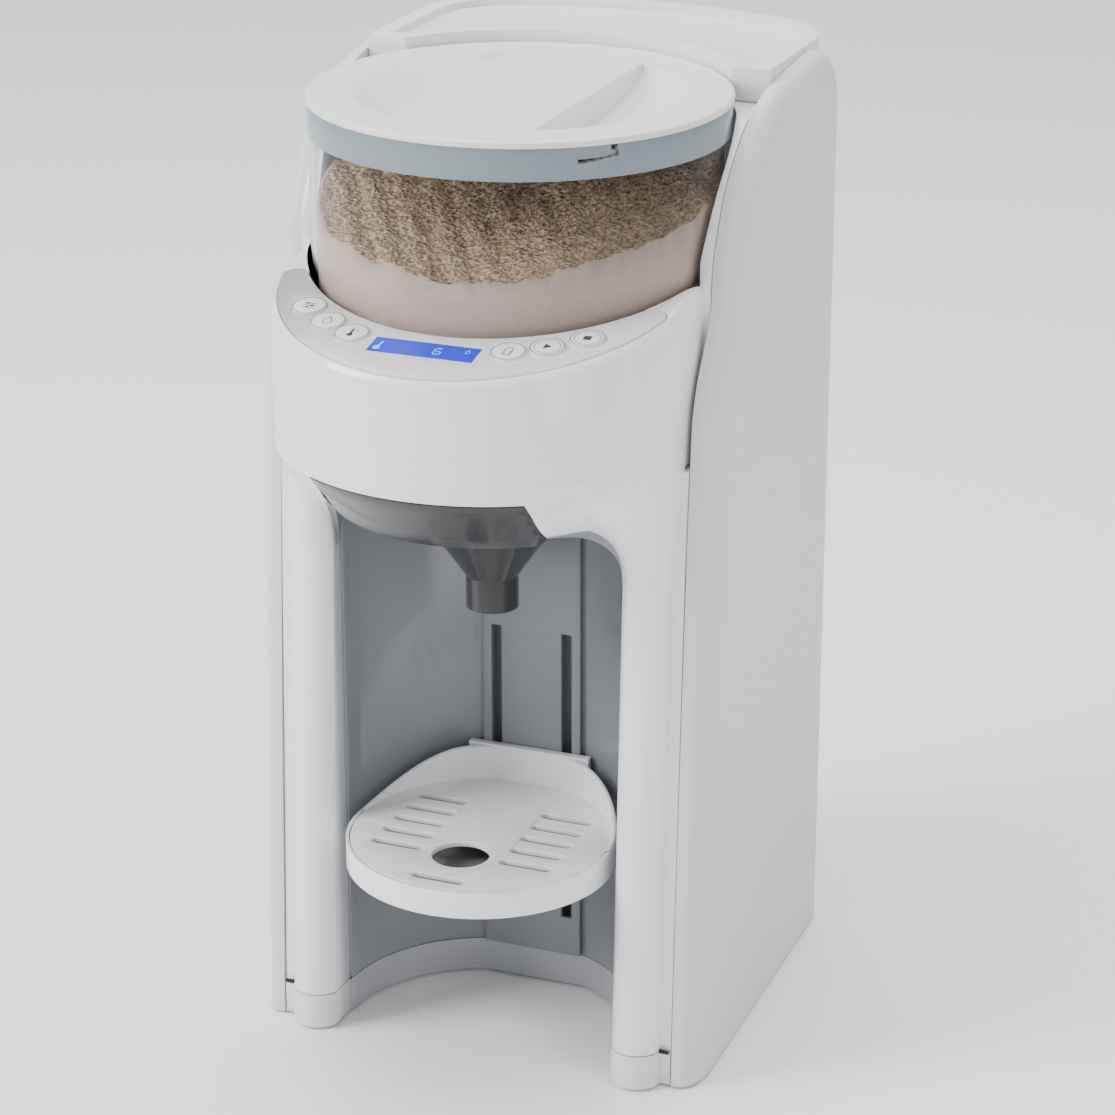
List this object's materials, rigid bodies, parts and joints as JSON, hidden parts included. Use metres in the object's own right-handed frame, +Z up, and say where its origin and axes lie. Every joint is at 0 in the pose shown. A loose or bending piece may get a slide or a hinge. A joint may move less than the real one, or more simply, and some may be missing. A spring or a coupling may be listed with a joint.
{
  "type": "formula dispenser",
  "caption": "White countertop powdered formula dispenser: clear round powder hopper on top, tilted control strip, bottle niche with height tray and a rear water tank.",
  "frame": {"origin": "on the floor, at the centre of the footprint", "axes": "+Z up through the hopper, -Y towards the user (front of the head), +X to the user's right"},
  "size_m": [0.174, 0.24, 0.356],
  "materials": {
    "gloss_shell": "gloss",
    "panel": "satin",
    "inner_plastic": "satin",
    "lid_plastic": "satin",
    "clear": "clear",
    "collar": "translucent",
    "smoke": "translucent smoke",
    "rubber": "matte",
    "gear_plastic": "satin",
    "steel": "brushed",
    "board": "solder mask",
    "black_plastic": "satin"
  },
  "bodies": {
    "frame": {"base_frame": "panel", "rubber_feet": "rubber", "base_screws": "steel", "front_shell": "gloss_shell", "left_side_panel": "panel", "right_side_panel": "panel", "rear_cover": "panel", "cover_screws": "steel", "niche_insert": "inner_plastic", "funnel_rails": "inner_plastic", "hopper_dock": "inner_plastic", "outlet_seal": "rubber", "idler_pin": "steel", "drive_motor": "steel", "gear_case": "inner_plastic", "control_panel": "gloss_shell", "display_window": "clear", "display_module": "board", "control_board": "board", "valve_socket": "inner_plastic", "water_pump": "black_plastic", "water_heater": "steel", "heater_bracket": "inner_plastic", "water_tubes": "rubber", "water_nozzle": "inner_plastic", "main_board": "board", "power_inlet": "black_plastic"},
    "hopper": {"powder_container": "clear", "container_collar": "collar", "container_floor": "inner_plastic"},
    "lid": {"container_lid": "lid_plastic", "lid_seal": "rubber"},
    "dosing": {"dosing_wheel": "gear_plastic", "stirrer": "gear_plastic"},
    "output_drive": {"drive_coupler": "steel", "output_gear": "gear_plastic"},
    "idler": {"idler_gear": "gear_plastic"},
    "pinion": {"motor_pinion": "steel"},
    "funnel_drawer": {"funnel": "smoke"},
    "tray": {"tray_body": "lid_plastic"},
    "tray_top": {"tray_cover": "lid_plastic"},
    "tank": {"water_tank": "clear", "tank_lid_pins": "steel", "valve_seal": "rubber"},
    "tank_cap": {"tank_lid": "lid_plastic"},
    "tank_plunger": {"tank_valve": "gear_plastic"},
    "setting_key": {"setting_button": "lid_plastic"},
    "water_key": {"water_button": "lid_plastic"},
    "temperature_key": {"temperature_button": "lid_plastic"},
    "amount_key": {"amount_button": "lid_plastic"},
    "start_key": {"start_button": "lid_plastic"},
    "stop_key": {"stop_button": "lid_plastic"}
  },
  "joints": [
    {"name": "hopper_lift", "type": "slide", "parent": "frame", "child": "hopper", "axis": [0, 0, 1], "range_m": [0, 0.12]},
    {"name": "lid_lift", "type": "slide", "parent": "hopper", "child": "lid", "axis": [0, 0, 1], "range_m": [0, 0.06]},
    {"name": "dosing_turn", "type": "hinge", "parent": "hopper", "child": "dosing", "pos_m": [0, -0.015, 0.268], "axis": [0, 0, 1], "continuous": true},
    {"name": "output_turn", "type": "hinge", "parent": "frame", "child": "output_drive", "pos_m": [0, -0.015, 0.227], "axis": [0, 0, 1], "continuous": true},
    {"name": "idler_turn", "type": "hinge", "parent": "frame", "child": "idler", "pos_m": [0, 0.008, 0.227], "axis": [0, 0, 1], "continuous": true},
    {"name": "pinion_turn", "type": "hinge", "parent": "frame", "child": "pinion", "pos_m": [0, 0.023, 0.227], "axis": [0, 0, 1], "continuous": true},
    {"name": "funnel_slide", "type": "slide", "parent": "frame", "child": "funnel_drawer", "axis": [0, -1, 0], "range_m": [0, 0.075]},
    {"name": "tray_height", "type": "slide", "parent": "frame", "child": "tray", "axis": [0, 0, 1], "range_m": [-0.045, 0.05]},
    {"name": "tray_cover_lift", "type": "slide", "parent": "tray", "child": "tray_top", "axis": [0, 0, 1], "range_m": [0, 0.03]},
    {"name": "tank_lift", "type": "slide", "parent": "frame", "child": "tank", "axis": [0, 0, 1], "range_m": [0, 0.12]},
    {"name": "cap_hinge", "type": "hinge", "parent": "tank", "child": "tank_cap", "pos_m": [0, 0.1158, 0.3486], "axis": [-1, 0, 0], "range_deg": [0, 75]},
    {"name": "valve_lift", "type": "slide", "parent": "tank", "child": "tank_plunger", "axis": [0, 0, 1], "range_m": [0, 0.003], "stiffness_N_per_m": 300},
    {"name": "setting_press", "type": "slide", "parent": "frame", "child": "setting_key", "axis": [0, 0.1925, -0.9813], "range_m": [0, 0.0008], "stiffness_N_per_m": 1500},
    {"name": "water_press", "type": "slide", "parent": "frame", "child": "water_key", "axis": [0, 0.1925, -0.9813], "range_m": [0, 0.0008], "stiffness_N_per_m": 1500},
    {"name": "temperature_press", "type": "slide", "parent": "frame", "child": "temperature_key", "axis": [0, 0.1925, -0.9813], "range_m": [0, 0.0008], "stiffness_N_per_m": 1500},
    {"name": "amount_press", "type": "slide", "parent": "frame", "child": "amount_key", "axis": [0, 0.1925, -0.9813], "range_m": [0, 0.0008], "stiffness_N_per_m": 1500},
    {"name": "start_press", "type": "slide", "parent": "frame", "child": "start_key", "axis": [0, 0.1925, -0.9813], "range_m": [0, 0.0008], "stiffness_N_per_m": 1500},
    {"name": "stop_press", "type": "slide", "parent": "frame", "child": "stop_key", "axis": [0, 0.1925, -0.9813], "range_m": [0, 0.0008], "stiffness_N_per_m": 1500}
  ],
  "couplings": [
    {"joint": "output_turn", "follows": "dosing_turn", "ratio": 1},
    {"joint": "idler_turn", "follows": "dosing_turn", "ratio": -1.3},
    {"joint": "pinion_turn", "follows": "dosing_turn", "ratio": 2.6}
  ]
}
